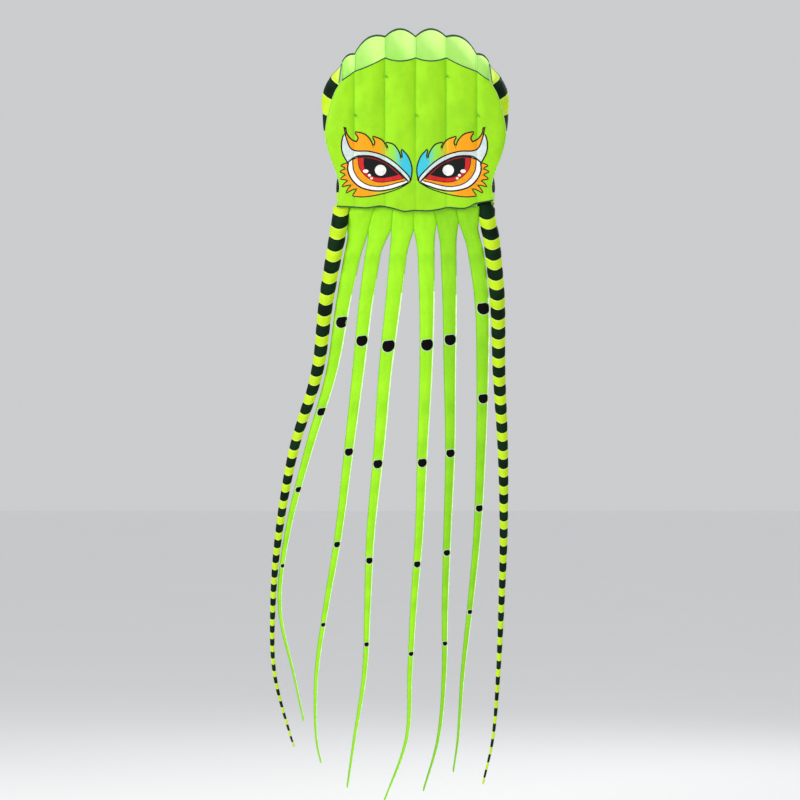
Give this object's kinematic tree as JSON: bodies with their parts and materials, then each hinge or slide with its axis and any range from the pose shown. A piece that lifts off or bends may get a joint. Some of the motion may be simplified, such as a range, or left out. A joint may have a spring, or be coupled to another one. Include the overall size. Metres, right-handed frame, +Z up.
{
  "type": "octopus kite",
  "caption": "Soft ram-air kite in the form of an octopus: a ribbed, inflated head with printed eyes, flat spotted tentacles and striped tube arms.",
  "frame": {"origin": "centre of the bore of the centre bridle loop, on the middle seam of the face", "axes": "+Z up towards the crown, +Y from the face to the back, +X across the face to the right of someone looking at it"},
  "size_m": [1.2353, 0.2688, 4.011],
  "materials": {
    "green_ripstop": "matte",
    "pale_green_ripstop": "matte",
    "lime_ripstop": "matte",
    "black_ripstop": "matte",
    "rib_ripstop": "matte",
    "binding_tape": "matte",
    "webbing": "matte",
    "eye_print": "matte"
  },
  "bodies": {
    "head": {"back_panel_1": "pale_green_ripstop", "back_panel_2": "pale_green_ripstop", "back_panel_3": "pale_green_ripstop", "back_panel_4": "pale_green_ripstop", "back_panel_5": "pale_green_ripstop", "back_panel_6": "pale_green_ripstop", "bridle_loops": "webbing", "face_panel": "green_ripstop", "hem_binding": "binding_tape", "left_eye": "eye_print", "left_side_black": "black_ripstop", "left_side_lime": "lime_ripstop", "lower_mouth_binding": "binding_tape", "rib_1": "rib_ripstop", "rib_2": "rib_ripstop", "rib_3": "rib_ripstop", "rib_4": "rib_ripstop", "rib_5": "rib_ripstop", "right_eye": "eye_print", "right_side_black": "black_ripstop", "right_side_lime": "lime_ripstop", "skirt_panel": "green_ripstop", "upper_mouth_binding": "binding_tape"},
    "tentacle_1_root": {"tentacle_1_section_1": "green_ripstop"},
    "tentacle_1_middle": {"tentacle_1_section_2": "green_ripstop"},
    "tentacle_1_tip": {"tentacle_1_section_3": "green_ripstop"},
    "tentacle_2_root": {"tentacle_2_section_1": "green_ripstop"},
    "tentacle_2_middle": {"tentacle_2_section_2": "green_ripstop"},
    "tentacle_2_tip": {"tentacle_2_section_3": "green_ripstop"},
    "tentacle_3_root": {"tentacle_3_section_1": "green_ripstop"},
    "tentacle_3_middle": {"tentacle_3_section_2": "green_ripstop"},
    "tentacle_3_tip": {"tentacle_3_section_3": "green_ripstop"},
    "tentacle_4_root": {"tentacle_4_section_1": "green_ripstop"},
    "tentacle_4_middle": {"tentacle_4_section_2": "green_ripstop"},
    "tentacle_4_tip": {"tentacle_4_section_3": "green_ripstop"},
    "tentacle_5_root": {"tentacle_5_section_1": "green_ripstop"},
    "tentacle_5_middle": {"tentacle_5_section_2": "green_ripstop"},
    "tentacle_5_tip": {"tentacle_5_section_3": "green_ripstop"},
    "tentacle_6_root": {"tentacle_6_section_1": "green_ripstop"},
    "tentacle_6_middle": {"tentacle_6_section_2": "green_ripstop"},
    "tentacle_6_tip": {"tentacle_6_section_3": "green_ripstop"},
    "left_arm_root": {"left_arm_1_black": "black_ripstop", "left_arm_1_lime": "lime_ripstop"},
    "left_arm_middle": {"left_arm_2_black": "black_ripstop", "left_arm_2_lime": "lime_ripstop"},
    "left_arm_tip": {"left_arm_3_black": "black_ripstop", "left_arm_3_lime": "lime_ripstop"},
    "right_arm_root": {"right_arm_1_black": "black_ripstop", "right_arm_1_lime": "lime_ripstop"},
    "right_arm_middle": {"right_arm_2_black": "black_ripstop", "right_arm_2_lime": "lime_ripstop"},
    "right_arm_tip": {"right_arm_3_black": "black_ripstop", "right_arm_3_lime": "lime_ripstop"}
  },
  "joints": [
    {"name": "tentacle_1_root_swing", "type": "hinge", "parent": "head", "child": "tentacle_1_root", "pos_m": [0, 0.075, -0.583], "axis": [1, 0, 0], "range_deg": [-30, 30]},
    {"name": "tentacle_1_middle_swing", "type": "hinge", "parent": "tentacle_1_root", "child": "tentacle_1_middle", "pos_m": [0, 0.075, -1.53], "axis": [1, 0, 0], "range_deg": [-35, 35]},
    {"name": "tentacle_1_tip_swing", "type": "hinge", "parent": "tentacle_1_middle", "child": "tentacle_1_tip", "pos_m": [0, 0.075, -2.48], "axis": [1, 0, 0], "range_deg": [-35, 35]},
    {"name": "tentacle_2_root_swing", "type": "hinge", "parent": "head", "child": "tentacle_2_root", "pos_m": [0, 0.075, -0.583], "axis": [1, 0, 0], "range_deg": [-30, 30]},
    {"name": "tentacle_2_middle_swing", "type": "hinge", "parent": "tentacle_2_root", "child": "tentacle_2_middle", "pos_m": [0, 0.075, -1.53], "axis": [1, 0, 0], "range_deg": [-35, 35]},
    {"name": "tentacle_2_tip_swing", "type": "hinge", "parent": "tentacle_2_middle", "child": "tentacle_2_tip", "pos_m": [0, 0.075, -2.48], "axis": [1, 0, 0], "range_deg": [-35, 35]},
    {"name": "tentacle_3_root_swing", "type": "hinge", "parent": "head", "child": "tentacle_3_root", "pos_m": [0, 0.075, -0.583], "axis": [1, 0, 0], "range_deg": [-30, 30]},
    {"name": "tentacle_3_middle_swing", "type": "hinge", "parent": "tentacle_3_root", "child": "tentacle_3_middle", "pos_m": [0, 0.075, -1.53], "axis": [1, 0, 0], "range_deg": [-35, 35]},
    {"name": "tentacle_3_tip_swing", "type": "hinge", "parent": "tentacle_3_middle", "child": "tentacle_3_tip", "pos_m": [0, 0.075, -2.48], "axis": [1, 0, 0], "range_deg": [-35, 35]},
    {"name": "tentacle_4_root_swing", "type": "hinge", "parent": "head", "child": "tentacle_4_root", "pos_m": [0, 0.075, -0.583], "axis": [1, 0, 0], "range_deg": [-30, 30]},
    {"name": "tentacle_4_middle_swing", "type": "hinge", "parent": "tentacle_4_root", "child": "tentacle_4_middle", "pos_m": [0, 0.075, -1.53], "axis": [1, 0, 0], "range_deg": [-35, 35]},
    {"name": "tentacle_4_tip_swing", "type": "hinge", "parent": "tentacle_4_middle", "child": "tentacle_4_tip", "pos_m": [0, 0.075, -2.48], "axis": [1, 0, 0], "range_deg": [-35, 35]},
    {"name": "tentacle_5_root_swing", "type": "hinge", "parent": "head", "child": "tentacle_5_root", "pos_m": [0, 0.075, -0.583], "axis": [1, 0, 0], "range_deg": [-30, 30]},
    {"name": "tentacle_5_middle_swing", "type": "hinge", "parent": "tentacle_5_root", "child": "tentacle_5_middle", "pos_m": [0, 0.075, -1.53], "axis": [1, 0, 0], "range_deg": [-35, 35]},
    {"name": "tentacle_5_tip_swing", "type": "hinge", "parent": "tentacle_5_middle", "child": "tentacle_5_tip", "pos_m": [0, 0.075, -2.48], "axis": [1, 0, 0], "range_deg": [-35, 35]},
    {"name": "tentacle_6_root_swing", "type": "hinge", "parent": "head", "child": "tentacle_6_root", "pos_m": [0, 0.075, -0.583], "axis": [1, 0, 0], "range_deg": [-30, 30]},
    {"name": "tentacle_6_middle_swing", "type": "hinge", "parent": "tentacle_6_root", "child": "tentacle_6_middle", "pos_m": [0, 0.075, -1.53], "axis": [1, 0, 0], "range_deg": [-35, 35]},
    {"name": "tentacle_6_tip_swing", "type": "hinge", "parent": "tentacle_6_middle", "child": "tentacle_6_tip", "pos_m": [0, 0.075, -2.48], "axis": [1, 0, 0], "range_deg": [-35, 35]},
    {"name": "left_arm_root_swing", "type": "hinge", "parent": "head", "child": "left_arm_root", "pos_m": [0, 0.075, -0.583], "axis": [1, 0, 0], "range_deg": [-30, 30]},
    {"name": "left_arm_middle_swing", "type": "hinge", "parent": "left_arm_root", "child": "left_arm_middle", "pos_m": [0, 0.075, -1.53635], "axis": [1, 0, 0], "range_deg": [-35, 35]},
    {"name": "left_arm_tip_swing", "type": "hinge", "parent": "left_arm_middle", "child": "left_arm_tip", "pos_m": [0, 0.075, -2.46432], "axis": [1, 0, 0], "range_deg": [-35, 35]},
    {"name": "right_arm_root_swing", "type": "hinge", "parent": "head", "child": "right_arm_root", "pos_m": [0, 0.075, -0.583], "axis": [1, 0, 0], "range_deg": [-30, 30]},
    {"name": "right_arm_middle_swing", "type": "hinge", "parent": "right_arm_root", "child": "right_arm_middle", "pos_m": [0, 0.075, -1.55223], "axis": [1, 0, 0], "range_deg": [-35, 35]},
    {"name": "right_arm_tip_swing", "type": "hinge", "parent": "right_arm_middle", "child": "right_arm_tip", "pos_m": [0, 0.075, -2.47053], "axis": [1, 0, 0], "range_deg": [-35, 35]}
  ]
}
